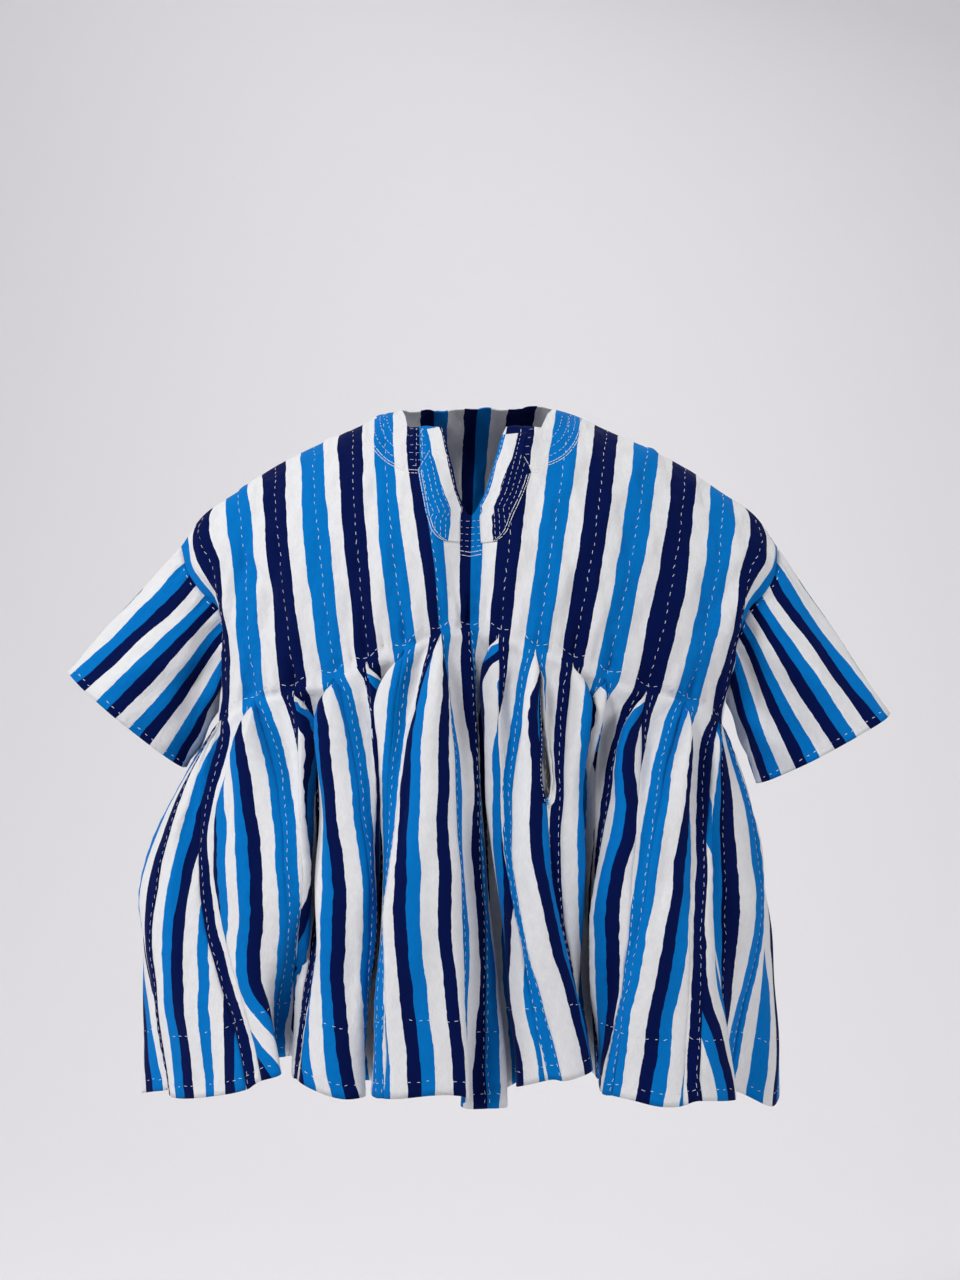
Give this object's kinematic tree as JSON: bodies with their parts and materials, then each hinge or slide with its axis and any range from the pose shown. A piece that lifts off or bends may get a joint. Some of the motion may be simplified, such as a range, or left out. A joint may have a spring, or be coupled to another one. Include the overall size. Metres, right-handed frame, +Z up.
{
  "type": "fugu smock",
  "caption": "Wide gathered smock of narrow striped woven strips, with short open sleeves, a quilted V neck and a flared skirt of let-in gores, worn and hollow.",
  "frame": {"origin": "middle of the neck opening, level with the side points of the neck, where the wearer's neck and shoulders hold the smock", "axes": "+Z up, the front faces -Y, +X towards the viewer's right when the front is looked at"},
  "size_m": [0.869, 0.4191, 0.7325],
  "materials": {
    "striped_cloth": "matt strip-woven cotton, striped in white, sky blue and navy",
    "pocket_cloth": "plain matt white cotton"
  },
  "bodies": {
    "root": {"body_back": "striped_cloth", "body_front": "striped_cloth", "gore_back_01": "striped_cloth", "gore_back_02": "striped_cloth", "gore_back_03": "striped_cloth", "gore_back_04": "striped_cloth", "gore_back_05": "striped_cloth", "gore_back_06": "striped_cloth", "gore_back_07": "striped_cloth", "gore_back_08": "striped_cloth", "gore_back_09": "striped_cloth", "gore_back_10": "striped_cloth", "gore_back_11": "striped_cloth", "gore_back_12": "striped_cloth", "gore_back_13": "striped_cloth", "gore_back_14": "striped_cloth", "gore_front_01": "striped_cloth", "gore_front_02": "striped_cloth", "gore_front_03": "striped_cloth", "gore_front_04": "striped_cloth", "gore_front_05": "striped_cloth", "gore_front_06": "striped_cloth", "gore_front_07": "striped_cloth", "gore_front_08": "striped_cloth", "gore_front_09": "striped_cloth", "gore_front_10": "striped_cloth", "gore_front_11": "striped_cloth", "gore_front_12": "striped_cloth", "gore_front_13": "striped_cloth", "gore_front_14": "striped_cloth", "gore_side_left": "striped_cloth", "gore_side_right": "striped_cloth", "pocket_left": "pocket_cloth", "pocket_right": "pocket_cloth", "sleeve_left": "striped_cloth", "sleeve_right": "striped_cloth"}
  },
  "joints": []
}
